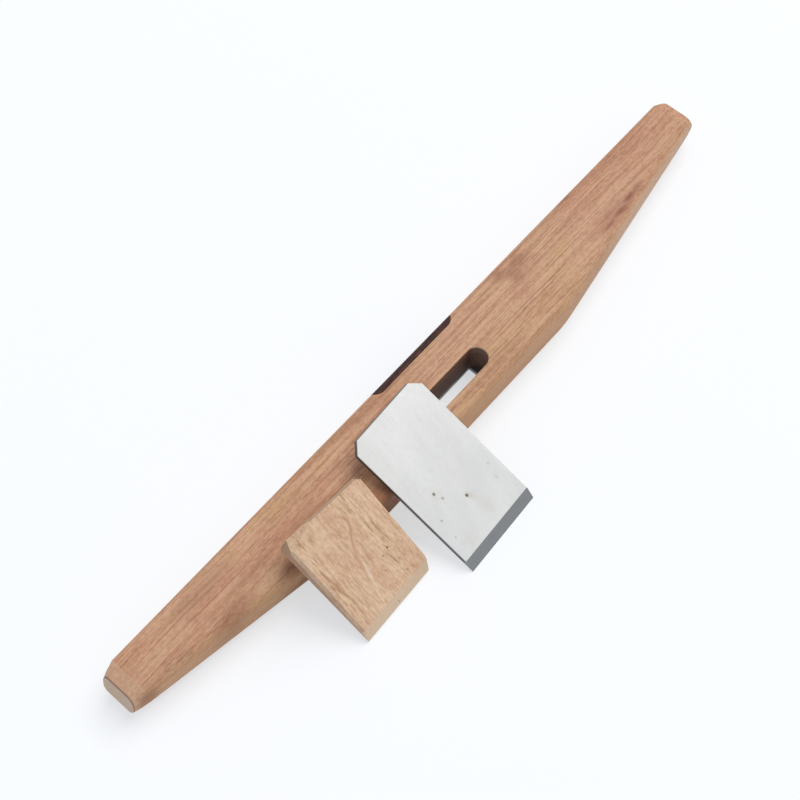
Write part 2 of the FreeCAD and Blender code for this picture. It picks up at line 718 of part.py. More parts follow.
def make_wedge():
    """The wedge, drawn flat: its toe on X, its straight face down, its length along Y."""
    body = new_body("wedge")
    half = "(sizes.wedge_width / 2)"
    skew = "(%s * tan(sizes.wedge_head_skew * 1 deg))" % half
    long_side = "(sizes.wedge_length + %s)" % skew
    short_side = "(sizes.wedge_length - %s)" % skew
    left = wedge_profile(body, "LeftSide", "-" + half, long_side)
    right = wedge_profile(body, "RightSide", half, short_side)
    doc.recompute()
    block = body.newObject("PartDesign::AdditiveLoft", "WedgeBlock")
    block.Profile = left
    block.Sections = [right]
    block.Ruled = True
    body.Tip = block
    doc.recompute()
    past = "(%s + sizes.overrun)" % long_side
    clip_corner(body, "HeadLeft", [
        ("-" + half, "(%s - sizes.left_clip_along)" % long_side),
        ("-(%s - sizes.left_clip_across)" % half, long_side),
        ("-(%s - sizes.left_clip_across)" % half, past), ("-" + half, past)])
    clip_corner(body, "HeadRight", [
        (half, "(%s - sizes.right_clip_along)" % short_side), (half, past),
        ("(%s - sizes.right_clip_across)" % half, past),
        ("(%s - sizes.right_clip_across)" % half, short_side)])
    last = clip_corner(body, "ToeRight", [
        ("(%s - sizes.toe_clip_across)" % half, "0"), (half, "0"),
        (half, "sizes.toe_clip_along")])
    width, length = sizes["wedge_width"], sizes["wedge_length"]

    def head_edge(edge):
        box = edge.BoundBox
        high = box.ZMin > sizes["wedge_toe"] and box.YMin > half_share * length
        return high and box.XLength > half_share * width

    def long_top_edge(edge):
        box = edge.BoundBox
        high = box.ZMax > sizes["wedge_toe"] and near(box.XLength, 0)
        return high and box.YLength > half_share * length

    def long_back_edge(edge):
        box = edge.BoundBox
        return near(box.ZMax, 0) and near(box.XLength, 0) and box.YLength > half_share * length

    def left_top_edge(edge):
        return long_top_edge(edge) and edge.BoundBox.XMax < 0

    def right_top_edge(edge):
        return long_top_edge(edge) and edge.BoundBox.XMin > 0

    for name, test, size in (("HeadArris", head_edge, "sizes.wedge_head_arris"),
                             ("LeftArris", left_top_edge, "sizes.wedge_left_arris"),
                             ("RightArris", right_top_edge, "sizes.wedge_arris")):
        soft = body.newObject("PartDesign::Chamfer", name)
        soft.Base = (last, edges_where(last.Shape, test))
        bind(soft, Size=size)
        body.Tip = soft
        doc.recompute()
        last = soft
    back = body.newObject("PartDesign::Fillet", "BackEdges")
    back.Base = (last, edges_where(last.Shape, long_back_edge))
    bind(back, Radius="sizes.wedge_back_round")
    body.Tip = back
    doc.recompute()
    cut_facet(body, half, long_side)
    return body


def cut_facet(body, half, long_side):
    """The worn facet that slopes off the head's left corner.

    It is drawn across the slope, on an upright plane that is turned to face along it.
    """
    down = "(%s - sizes.facet_down)" % long_side
    top = "(sizes.wedge_toe + %s * tan(sizes.wedge_angle * 1 deg))" % down
    fall = "sizes.facet_reach * tan(sizes.facet_slope * 1 deg)"
    clear = "(%s + 2 * %s)" % (top, fall)
    sketch = polygon_sketch(body, "FacetWaste", "XZ_Plane", [
        ("-sizes.facet_reach / 2", "(%s + %s / 2)" % (top, fall)),
        ("sizes.facet_reach", "(%s - %s)" % (top, fall)),
        ("sizes.facet_reach", clear), ("-sizes.facet_reach / 2", clear)])
    turn = FreeCAD.Rotation(FreeCAD.Vector(0, 1, 0), 90 + sizes["facet_turn"])
    sketch.AttachmentOffset = FreeCAD.Placement(point(0, 0), turn)
    bind(sketch, **{"AttachmentOffset.Rotation.Angle": "(90 + sizes.facet_turn) * 1 deg",
                    "AttachmentOffset.Base.x": "-" + half,
                    "AttachmentOffset.Base.z": "-" + down})
    cut = body.newObject("PartDesign::Pocket", "CornerFacet")
    cut.Profile = sketch
    cut.Type = 1
    cut.Midplane = True
    body.Tip = cut
    doc.recompute()


def lay_against_stock(body, place, reach, turn, width):
    """Stands a flat piece's lower edge on the floor and leans it on the stock's back edge.

    Its underside clears the rounded edge by seat_gap where it comes nearest.
    """
    yaw = math.radians(turn)
    y_toe = sizes["front_land"] / 2 - sizes["stock_depth"] - reach
    back_round, gap = sizes["back_round"], sizes["seat_gap"]
    run = (reach + back_round - math.tan(yaw) * width / 2) * math.cos(yaw)
    rise = sizes["stock_height"] - back_round
    lean = math.atan2(rise, run) + math.asin((back_round + gap) / math.hypot(run, rise))
    tilt = FreeCAD.Rotation(FreeCAD.Vector(1, 0, 0), math.degrees(lean))
    swing = FreeCAD.Rotation(FreeCAD.Vector(0, 0, 1), turn)
    body.Placement = FreeCAD.Placement(FreeCAD.Vector(place, y_toe, 0), swing * tilt)
    along = (swing * tilt).multVec(FreeCAD.Vector(0, 1, 0))
    print("%s leans %.2f degrees, slides along (%.5f, %.5f, %.5f)"
          % (body.Label, math.degrees(lean), along.x, along.y, along.z))


parts = [make_stock(), make_insert(), make_plate(), make_screws()]
blade = make_blade()
lay_against_stock(blade, sizes["blade_place"], sizes["blade_reach"],
                  sizes["blade_turn"], sizes["blade_width"])
wedge = make_wedge()
lay_against_stock(wedge, sizes["wedge_place"], sizes["wedge_reach"],
                  sizes["wedge_turn"], sizes["wedge_width"])
parts += [blade, wedge]
doc.removeObject("spare")
doc.recompute()

for thing in doc.Objects:
    bad = [state for state in thing.State if state in ("Invalid", "Error")]
    if bad:
        raise RuntimeError("%s is %s" % (thing.Name, bad))

os.makedirs("parts", exist_ok=True)
for part in parts:
    shape = part.Shape
    if shape.isNull() or not shape.isValid():
        raise RuntimeError("%s has no valid shape" % part.Label)
    shape.exportStep(os.path.join("parts", part.Label + ".step"))
    box = shape.BoundBox
    print("%-14s solids %d volume %.1f box %.2f..%.2f %.2f..%.2f %.2f..%.2f" % (
        part.Label, len(shape.Solids), shape.Volume,
        box.XMin, box.XMax, box.YMin, box.YMax, box.ZMin, box.ZMax))
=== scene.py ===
import bpy
import math
from mathutils import Matrix, Vector

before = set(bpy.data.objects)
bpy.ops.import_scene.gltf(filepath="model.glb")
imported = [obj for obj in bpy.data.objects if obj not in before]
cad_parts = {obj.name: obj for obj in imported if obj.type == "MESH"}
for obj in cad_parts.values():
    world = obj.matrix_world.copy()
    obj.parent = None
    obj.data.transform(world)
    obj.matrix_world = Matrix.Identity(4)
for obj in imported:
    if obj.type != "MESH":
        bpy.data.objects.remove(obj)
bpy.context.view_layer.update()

mm = 0.001


def tone(red, green, blue):  # a colour given in screen values, as the linear values a shader wants
    linear = []
    for level in (red, green, blue):
        share = level / 255
        linear.append(share / 12.92 if share <= 0.04045 else ((share + 0.055) / 1.055) ** 2.4)
    return (*linear, 1.0)


# Material graph helpers

def startMaterial(name):
    material = bpy.data.materials.new(name)
    material.use_nodes = True
    graph = material.node_tree
    graph.nodes.clear()
    finish = graph.nodes.new("ShaderNodeBsdfPrincipled")
    output = graph.nodes.new("ShaderNodeOutputMaterial")
    graph.links.new(finish.outputs[0], output.inputs[0])
    return material, graph, finish


def feed(graph, item, sockets):
    for socket, source in sockets.items():
        if isinstance(source, bpy.types.NodeSocket):
            graph.links.new(source, item.inputs[socket])
        else:
            item.inputs[socket].default_value = source


def put(graph, kind, sockets=None, **settings):
    item = graph.nodes.new("ShaderNode" + kind)
    for setting, choice in settings.items():
        setattr(item, setting, choice)
    feed(graph, item, sockets or {})
    return item


def sums(graph, operation, first, second=0.0, third=0.0, clamp=False):
    item = put(graph, "Math", {0: first, 1: second, 2: third}, operation=operation, use_clamp=clamp)
    return item.outputs[0]


def joined(graph, operation, values):
    total = values[0]
    for value in values[1:]:
        total = sums(graph, operation, total, value)
    return total


def times(graph, *values):
    return joined(graph, "MULTIPLY", values)


def band(graph, value, low, high, toLow=0.0, toHigh=1.0, smooth=True):
    item = put(graph, "MapRange", {"Value": value, "From Min": low, "From Max": high,
                                   "To Min": toLow, "To Max": toHigh},
               interpolation_type="SMOOTHSTEP" if smooth else "LINEAR")
    return item.outputs[0]


def centred(graph, value, amount):
    return times(graph, sums(graph, "SUBTRACT", value, 0.5), amount)


def blendColour(graph, share, first, second):
    return put(graph, "Mix", {0: share, 6: first, 7: second}, data_type="RGBA").outputs[2]


def veil(graph, colour, target, value, low, high, strength):  # one colour over another where value is high
    return blendColour(graph, band(graph, value, low, high, 0.0, strength), colour, target)


def layered(graph, colour, look, layers, textures):
    for texture, toneName, low, high, strength in look[layers]:
        colour = veil(graph, colour, look[toneName], textures[texture], low, high, strength)
    return colour


def noise(graph, place, scale, detail, rough=0.5):
    return put(graph, "TexNoise", {"Vector": place, "Scale": scale, "Detail": detail,
                                   "Roughness": rough}).outputs[0]


def stretched(graph, place, amounts):
    return put(graph, "VectorMath", {0: place, 1: amounts}, operation="MULTIPLY").outputs[0]


def grained(graph, place, recipe, axis):  # a noise drawn out along one axis
    squeeze, *settings = recipe
    amounts = [squeeze] * 3
    amounts[axis] = 1.0
    return noise(graph, stretched(graph, place, amounts), *settings)


def dot(graph, direction, other):
    return put(graph, "VectorMath", {0: direction, 1: other}, operation="DOT_PRODUCT").outputs["Value"]


def objectPlace(graph):
    return put(graph, "TexCoord").outputs["Object"]


def objectNormal(graph):
    return put(graph, "TexCoord").outputs["Normal"]


def ownPlace(graph, look):  # across, along and through a leaning piece
    return put(graph, "Mapping", {"Vector": objectPlace(graph), "Location": look["toe"],
                                  "Rotation": (look["lean"], 0.0, look["turn"])},
               vector_type="TEXTURE").outputs[0]


def turned(graph, place, angle):
    return put(graph, "Mapping", {"Vector": place, "Rotation": (0.0, 0.0, angle)}).outputs[0]


def split(graph, place):
    return put(graph, "SeparateXYZ", {0: place}).outputs


def swayed(graph, place, axis, scale, detail, reach):  # the grain bends a little to the side
    parts = list(split(graph, place))
    sway = centred(graph, noise(graph, place, scale, detail), reach)
    parts[axis] = sums(graph, "ADD", parts[axis], sway)
    return put(graph, "CombineXYZ", dict(enumerate(parts))).outputs[0]


def raised(graph, height, strength, distance):
    return put(graph, "Bump", {"Height": height, "Strength": strength, "Distance": distance}).outputs[0]


def raisedWood(graph, lines, marks, bump):
    return raised(graph, sums(graph, "SUBTRACT", times(graph, lines, 0.5), marks), *bump)


def roundPatch(graph, place, spotAt, shape, ragged, far, near, strength):
    home = tuple(at * share * mm for at, share in zip(spotAt, shape))
    reach = put(graph, "VectorMath", {0: stretched(graph, place, shape), 1: home},
                operation="DISTANCE").outputs["Value"]
    return band(graph, sums(graph, "ADD", reach, ragged), far * mm, near * mm, 0.0, strength)


def spotted(graph, colour, target, place, look, kind, ragged):  # spots on a leaning piece's upper face
    surface, slope = look["surface"]
    farShare, nearShare = look[kind + "Fade"]
    for acrossAt, alongAt, size, strength in look[kind]:
        spotAt = (acrossAt, alongAt, surface + alongAt * slope)
        share = roundPatch(graph, place, spotAt, look[kind + "Shape"], ragged,
                           size * farShare, size * nearShare, strength)
        colour = blendColour(graph, share, colour, target)
    return colour


def dress(node, material):
    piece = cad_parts[node]
    piece = bpy.data.objects[piece] if isinstance(piece, str) else piece
    piece.data.materials.clear()
    piece.data.materials.append(material)


# Stock: reddish brown hardwood, oiled, its pores running along it

stockLook = {
    "pale": tone(211, 166, 132),
    "middle": tone(199, 151, 118),
    "deep": tone(158, 108, 80),
    "red": tone(188, 131, 101),
    "straw": tone(201, 161, 114),
    # warmer, paler tone for the rounded edges, partly painted light
    "edge": tone(206, 154, 108),
    "pore": tone(120, 78, 60),
    "worn": tone(138, 84, 62),
    "darkerTone": tone(92, 58, 48),
    # painted highlight: a paler rim on the right handle's sloping back faces
    "rimLightTone": tone(232, 200, 170),
    # painted light: bevels facing left are made paler
    "paintedBevelLight": tone(246, 206, 168),
    # end-grain tones, made paler in part as painted light for the shaded left end
    "endGrain": tone(222, 194, 166),
    "endDeep": tone(188, 158, 130),
    # throat walls: painted shade, darker than the stock and deepening towards the foot
    "throatWallShade": tone(146, 104, 88),
    "throatFootShade": tone(96, 68, 60),
    "throatEnd": tone(176, 142, 122),
    "gloss": 0.3,
    "bump": (0.35, 0.08 * mm),
    # textures: how much finer across the grain than along it, scale, detail, roughness
    "textures": {
        "figure": (12.0, 17.0, 3.0, 0.6),
        "hue": (3.2, 34.0, 3.0, 0.6),
        "lines": (95.0, 22.0, 3.0, 0.62),
        "wideLines": (60.0, 14.0, 3.0, 0.6),
        "pores": (11.0, 190.0, 2.0, 0.5),
        "mottle": (1.7, 520.0, 3.0, 0.65),
    },
    "sway": (12.0, 2.0, 3.5 * mm),
    "speckle": (1500.0, 2.0, 0.6),
    "arcStretch": (1.0, 1.0, 22.0),
    "arcs": (60.0, 3.0, 0.6),
    # layers: texture, the colour that it lays over the wood, from, to, strength
    "hueLayers": [("hue", "red", 0.47, 0.72, 0.75), ("hue", "straw", 0.5, 0.3, 0.7)],
    "lineLayers": [("lines", "deep", 0.46, 0.72, 0.8), ("lines", "pale", 0.5, 0.28, 0.7),
                   ("wideLines", "deep", 0.5, 0.74, 0.6)],
    "mottleLayers": [("mottle", "deep", 0.48, 0.68, 0.36), ("mottle", "pale", 0.5, 0.32, 0.4)],
    # bands: from, to, and the strengths there
    "figureBand": (0.34, 0.66),
    "poreBand": (0.57, 0.7, 0.0, 0.42),
    "poreFigure": (0.4, 0.6, 0.3, 1.0),
    "roughBand": (0.3, 0.7, 0.52, 0.7),
    "redAlong": (70.0 * mm, 105.0 * mm),
    "redAcross": (-9.0 * mm, 3.0 * mm, 0.18, 0.42),
    "strawAlong": (90.0 * mm, 60.0 * mm),
    "strawAcross": (-7.0 * mm, -16.0 * mm, 0.0, 0.4),
    "edgeLean": (0.99, 0.15),
    "edgeFacing": (0.3, 0.1),
    "edgeAlong": (-10.0 * mm, 50.0 * mm, 0.65, 0.45),
    "offFront": (0.95, 0.5),
    "offSole": (-0.9, -0.4),
    "rimLean": (0.7, 0.3, 0.0, 0.3),
    "rimAlong": (80.0 * mm, 110.0 * mm),
    "rimAcross": (2.0 * mm, -4.0 * mm),
    "bevelFacing": (0.15, 0.5, 0.0, 0.4),
    # the left end takes the end-grain tone more strongly, partly as painted light
    "leftEndFacing": (0.9, 0.97, 0.0, 0.9),
    "rightEndFacing": (0.5, 0.95, 0.0, 0.4),
    "endSpeckle": (0.42, 0.68, 0.4),
    "endLine": (0.7 * mm, 0.25 * mm, 0.0, 0.6),
    "throatTop": (18.4 * mm, 17.4 * mm),
    "throatFade": (16.0 * mm, 4.0 * mm),
    "throatFacing": (0.3, 0.8, 0.0, 0.6),
    "throatArcs": (0.45, 0.65, 0.5),
    "throatStrength": 0.85,
    # the throat's half length and the places of its two walls
    "throatX": 20.9 * mm,
    "throatY": (-17.4 * mm, -7.7 * mm),
    # the left end face: where it stands, and how far it leans back above its foot
    "endX": -166.5 * mm,
    "endFoot": 7.0 * mm,
    "endLean": 0.268,
    # redder, darker places, in millimetres: where along and across, half their size, how strong. Most are
    # the wood's own darker spots; those at the back edge near x -90, -87 and -50, beside the wedge and
    # under the blade, are painted shadow.
    "patches": [
        (-160.0, -10.4, 3.6, 1.5, 0.6), (-128.0, 3.0, 5.0, 1.6, 0.3), (-120.0, -12.8, 9.0, 2.6, 0.5),
        (-119.0, 1.0, 12.0, 3.4, 0.34), (-100.0, -7.0, 14.0, 1.6, 0.3), (-90.0, -17.0, 7.0, 3.0, 0.5),
        (-87.0, -22.5, 9.0, 3.6, 0.6), (-76.0, -9.0, 12.0, 2.6, 0.4), (-60.0, 8.0, 60.0, 0.8, 0.35),
        (-50.0, -23.5, 14.0, 4.6, 0.7), (-30.0, 5.0, 16.0, 1.6, 0.2), (20.0, -19.0, 20.0, 2.2, 0.16),
        (50.5, 5.2, 3.4, 3.0, 0.5), (55.0, -0.5, 3.6, 4.0, 0.5), (60.0, 2.8, 5.4, 3.8, 0.42),
        (96.0, 7.4, 5.0, 1.4, 0.65), (98.0, -14.6, 6.0, 1.3, 0.75), (104.0, -11.5, 14.0, 2.6, 0.4),
        (106.0, -13.6, 6.0, 1.4, 0.9), (114.0, -12.4, 5.0, 1.4, 0.95), (120.0, -11.6, 4.0, 1.0, 0.6),
    ],
    "patchFade": (1.7, 0.1),
    "patchRagged": (1.5, 3.0),
}


def stockGrain(graph, look, textures, x, y):
    # broad, soft figure: paler, redder and straw coloured runs
    figure = textures["figure"]
    colour = blendColour(graph, band(graph, figure, *look["figureBand"]), look["pale"], look["middle"])
    colour = layered(graph, colour, look, "hueLayers", textures)
    front = times(graph, band(graph, x, *look["redAlong"]), band(graph, y, *look["redAcross"]))
    colour = blendColour(graph, front, colour, look["red"])
    back = times(graph, band(graph, x, *look["strawAlong"]), band(graph, y, *look["strawAcross"]))
    colour = blendColour(graph, back, colour, look["straw"])

    # long fine lines, short pores and a faint mottle
    colour = layered(graph, colour, look, "lineLayers", textures)
    marks = times(graph, band(graph, textures["pores"], *look["poreBand"]),
                  band(graph, figure, *look["poreFigure"]))
    colour = blendColour(graph, marks, colour, look["pore"])
    return layered(graph, colour, look, "mottleLayers", textures), marks


def stockEdges(graph, look, colour, x, y, normal, offFrontAndSole):  # the rounded edges are painted warmer and paler: partly their own warmer colour, partly painted light that offsets the shade on them
    facing = sums(graph, "ABSOLUTE", normal[0])
    # painted light in part: the rounded long edges, lifted more on the left half
    litRoundedEdge = times(graph, band(graph, normal[2], *look["edgeLean"]),
                    band(graph, facing, *look["edgeFacing"]), band(graph, x, *look["edgeAlong"]), offFrontAndSole)
    colour = blendColour(graph, litRoundedEdge, colour, look["edge"])
    # painted highlight: a paler rim where the right handle's back rounds over
    rimHighlight = times(graph, band(graph, normal[2], *look["rimLean"]), band(graph, x, *look["rimAlong"]),
                band(graph, y, *look["rimAcross"]))
    return blendColour(graph, rimHighlight, colour, look["rimLightTone"])


def patchShare(graph, look, x, y, textures):
    ragged = sums(graph, "ADD", *(centred(graph, textures[name], amount)
                                  for name, amount in zip(("lines", "hue"), look["patchRagged"])))
    spots = []
    for alongAt, acrossAt, halfAlong, halfAcross, strength in look["patches"]:
        offX = sums(graph, "DIVIDE", sums(graph, "SUBTRACT", x, alongAt * mm), halfAlong * mm)
        offY = sums(graph, "DIVIDE", sums(graph, "SUBTRACT", y, acrossAt * mm), halfAcross * mm)
        reach = sums(graph, "SQRT", sums(graph, "MULTIPLY_ADD", offX, offX, times(graph, offY, offY)))
        spots.append(band(graph, sums(graph, "ADD", reach, ragged), *look["patchFade"], 0.0, strength))
    return joined(graph, "MAXIMUM", spots)


def stockEnds(graph, look, colour, place, x, z, normalX):  # bevels facing left are painted paler, as painted light; the sawn ends get end-grain colour, made paler and laid on more strongly at the left end, partly as painted light
    leftward = times(graph, normalX, -1.0)
    colour = blendColour(graph, band(graph, leftward, *look["bevelFacing"]), colour, look["paintedBevelLight"])
    leanBack = sums(graph, "MAXIMUM", sums(graph, "SUBTRACT", z, look["endFoot"]), 0.0)
    leanBack = sums(graph, "MULTIPLY_ADD", leanBack, look["endLean"], look["endX"])
    # a thin darker line just inside the edge of the left end face
    endLine = band(graph, sums(graph, "SUBTRACT", x, leanBack), *look["endLine"])
    colour = blendColour(graph, endLine, colour, look["darkerTone"])
    speckle = noise(graph, place, *look["speckle"])
    sawn = veil(graph, look["endGrain"], look["endDeep"], speckle, *look["endSpeckle"])
    onEnd = sums(graph, "MAXIMUM", band(graph, leftward, *look["leftEndFacing"]),
                 band(graph, normalX, *look["rightEndFacing"]))
    return blendColour(graph, onEnd, colour, sawn)


def throatWalls(graph, look, colour, place, spot, normalX):  # painted shade: the walls are darker than the stock and darker still towards their foot; lighter end walls, arcs at the ends
    x, y, z = spot
    back, front = look["throatY"]
    inX = sums(graph, "COMPARE", x, 0.0, look["throatX"])
    inY = sums(graph, "COMPARE", y, (back + front) / 2, (front - back) / 2)
    inside = times(graph, inX, inY, band(graph, z, *look["throatTop"]), look["throatStrength"])
    wall = blendColour(graph, band(graph, z, *look["throatFade"]), look["throatWallShade"], look["throatFootShade"])
    facing = sums(graph, "ABSOLUTE", normalX)
    wall = blendColour(graph, band(graph, facing, *look["throatFacing"]), wall, look["throatEnd"])
    # darker arcs on the throat walls
    arcs = noise(graph, stretched(graph, place, look["arcStretch"]), *look["arcs"])
    wall = veil(graph, wall, look["darkerTone"], arcs, *look["throatArcs"])
    return blendColour(graph, inside, colour, wall)


def stockWood(look):
    material, graph, finish = startMaterial("stockWood")
    place = objectPlace(graph)
    x, y, z = spot = split(graph, place)
    normal = split(graph, objectNormal(graph))
    grain = swayed(graph, place, 1, *look["sway"])
    textures = {name: grained(graph, grain, recipe, 0) for name, recipe in look["textures"].items()}
    offFrontAndSole = times(graph, band(graph, normal[1], *look["offFront"]),
                    band(graph, normal[2], *look["offSole"]))

    colour, marks = stockGrain(graph, look, textures, x, y)
    colour = stockEdges(graph, look, colour, x, y, normal, offFrontAndSole)
    # darker spots: partly the wood's own, partly painted shadow beside the wedge and under the blade
    worn = times(graph, patchShare(graph, look, x, y, textures), offFrontAndSole)
    colour = blendColour(graph, worn, colour, look["worn"])
    colour = stockEnds(graph, look, colour, place, x, z, normal[0])
    colour = throatWalls(graph, look, colour, place, spot, normal[0])
    feed(graph, finish, {"Base Color": colour, "Specular IOR Level": look["gloss"],
                         "Roughness": band(graph, textures["lines"], *look["roughBand"]),
                         "Normal": raisedWood(graph, textures["lines"], marks, look["bump"])})
    return material


# Insert: very dark, dense hardwood with reddish streaks

insertLook = {
    "base": tone(72, 47, 42),
    "dark": tone(40, 28, 27),
    "streak": tone(116, 68, 56),
    "roughness": 0.6,
    "gloss": 0.15,
    "bump": (0.3, 0.06 * mm),
    "textures": {"grain": (9.0, 110.0, 4.0, 0.65), "streaks": (7.0, 240.0, 3.0, 0.6)},
    "layers": [("grain", "dark", 0.42, 0.66, 0.8), ("streaks", "streak", 0.52, 0.7, 0.8)],
}


def insertWood(look):
    material, graph, finish = startMaterial("insertWood")
    place = objectPlace(graph)
    textures = {name: grained(graph, place, recipe, 0) for name, recipe in look["textures"].items()}
    feed(graph, finish, {"Base Color": layered(graph, look["base"], look, "layers", textures),
                         "Roughness": look["roughness"], "Specular IOR Level": look["gloss"],
                         "Normal": raised(graph, textures["grain"], *look["bump"])})
    return material


# Iron: ground steel with a few rust spots, its side faces painted dark as painted shade

bladeLook = {
    "toe": (-27.1 * mm, -62.425 * mm, 0.0),
    "lean": math.radians(25.47),
    "turn": math.radians(2.4),
    "thick": 3.0 * mm,
    "surface": (3.0, 0.0),
    "bevel": 5.3 * mm,
    "half": 19.0 * mm,
    "arris": 0.2 * mm,
    "pale": tone(238, 235, 229),
    "middle": tone(229, 226, 219),
    "groundLine": tone(209, 207, 203),
    "glint": tone(250, 250, 249),
    "bevelTone": tone(139, 139, 138),
    "edgeTone": tone(160, 160, 158),
    "sideTone": tone(86, 86, 86),
    "stain": tone(206, 198, 176),
    "rust": tone(112, 88, 66),
    "metal": 0.45,
    "bump": (0.2, 0.03 * mm),
    # marks of the grinding run a little aslant: angle, then the texture
    "textures": {
        "grind": (8.0, (24.0, 55.0, 5.0, 0.7)),
        "cross": (18.0, (20.0, 90.0, 4.0, 0.65)),
        "wide": (8.0, (3.0, 30.0, 3.0, 0.5)),
        "fine": (0.0, (1.0, 420.0, 3.0, 0.6)),
        "cloud": (0.0, (1.0, 150.0, 4.0, 0.6)),
    },
    "scratches": (30.0, 120.0, 3.0, 0.6),
    "layers": [("grind", "groundLine", 0.5, 0.78, 0.4), ("grind", "glint", 0.5, 0.26, 0.4),
               ("cross", "groundLine", 0.54, 0.78, 0.3), ("fine", "groundLine", 0.5, 0.75, 0.22)],
    "wideBand": (0.3, 0.7),
    "roughBand": (0.3, 0.7, 0.36, 0.52),
    "scratchBand": (0.45, 0.7, 0.0, 0.35),
    "aboveUnderside": (0.05 * mm, 0.12 * mm),
    "belowFace": (0.15 * mm, 0.3 * mm),
    "bevelFade": 0.05 * mm,
    "rimReach": 1.6,
    "rimStrength": 0.7,
    # rust spots and the faint brown clouds round them, in millimetres: across, along, size, strength
    "spots": [(-0.2, 21.2, 0.55, 0.95), (-9.1, 31.0, 0.5, 0.8), (-7.7, 27.4, 0.38, 0.5),
              (-14.3, 22.2, 0.42, 0.45), (-15.0, 14.2, 0.36, 0.3), (14.8, 22.8, 0.5, 0.2),
              (13.3, 17.0, 0.7, 0.14)],
    "spotsShape": (1.0, 0.85, 1.0),
    "spotsFade": (1.5, 0.5),
    "spotsRagged": 1.2 * mm,
    "clouds": [(0.5, 20.9, 1.4, 0.55), (1.8, 18.6, 2.0, 0.2), (-12.0, 10.0, 4.4, 0.14),
               (2.5, 13.0, 4.0, 0.16), (-8.6, 29.5, 2.4, 0.16)],
    "cloudsShape": (1.0, 0.6, 1.0),
    "cloudsFade": (1.0, 0.1),
    "cloudsRagged": 5.0 * mm,
}


def bladeEdges(graph, look, colour, place):
    across, along, through = split(graph, place)
    half, arris, thick, bevelEnd = look["half"], look["arris"], look["thick"], look["bevel"]
    # painted highlight: a bright line along the blade's long edges
    rimHighlight = band(graph, sums(graph, "ABSOLUTE", across), half - arris * look["rimReach"], half - arris)
    colour = blendColour(graph, times(graph, rimHighlight, look["rimStrength"]), colour, look["glint"])
    aboveUnderside = band(graph, through, *look["aboveUnderside"])
    belowFace = band(graph, through, *(thick - depth for depth in look["belowFace"]))
    # painted shade: the side faces between underside and face are darkened
    side = times(graph, aboveUnderside, belowFace)
    colour = blendColour(graph, side, colour, look["sideTone"])
    scratches = grained(graph, place, look["scratches"], 0)
    bevelTone = blendColour(graph, band(graph, scratches, *look["scratchBand"]),
                            look["bevelTone"], look["edgeTone"])
    bevel = band(graph, along, bevelEnd, bevelEnd - look["bevelFade"], smooth=False)
    return blendColour(graph, times(graph, bevel, aboveUnderside), colour, bevelTone)


def bladeSteel(look):
    material, graph, finish = startMaterial("bladeSteel")
    place = ownPlace(graph, look)
    textures = {}
    for name, (angle, recipe) in look["textures"].items():
        aslant = turned(graph, place, math.radians(angle)) if angle else place
        textures[name] = grained(graph, aslant, recipe, 1)
    colour = blendColour(graph, band(graph, textures["wide"], *look["wideBand"]),
                         look["pale"], look["middle"])
    colour = layered(graph, colour, look, "layers", textures)
    for kind, target in (("clouds", look["stain"]), ("spots", look["rust"])):
        ragged = centred(graph, textures["cloud"], look[kind + "Ragged"])
        colour = spotted(graph, colour, target, place, look, kind, ragged)
    feed(graph, finish, {"Base Color": bladeEdges(graph, look, colour, place), "Metallic": look["metal"],
                         "Roughness": band(graph, textures["grind"], *look["roughBand"]),
                         "Normal": raised(graph, textures["grind"], *look["bump"])})
    return material


# Sole plate and its screws: duller steel

plateLook = {
    "base": tone(120, 121, 124),
    "scuff": tone(168, 168, 168),
    "dull": tone(86, 84, 84),
    "metal": 0.7,
    "bump": (0.25, 0.04 * mm),
    "textures": {"lines": (28.0, 90.0, 4.0, 0.65), "cloud": (1.0, 120.0, 4.0, 0.6)},
    "layers": [("lines", "scuff", 0.4, 0.7, 1.0), ("cloud", "dull", 0.5, 0.75, 0.6)],
    "roughBand": (0.3, 0.7, 0.37, 0.57),
}
screwLook = {**plateLook, "base": tone(104, 102, 100)}


def plateSteel(name, look):
    material, graph, finish = startMaterial(name)
    place = objectPlace(graph)
    textures = {texture: grained(graph, place, recipe, 0) for texture, recipe in look["textures"].items()}
    feed(graph, finish, {"Base Color": layered(graph, look["base"], look, "layers", textures),
                         "Metallic": look["metal"],
                         "Roughness": band(graph, textures["cloud"], *look["roughBand"]),
                         "Normal": raised(graph, textures["lines"], *look["bump"])})
    return material


# Wedge: paler, tan hardwood with open lines along it

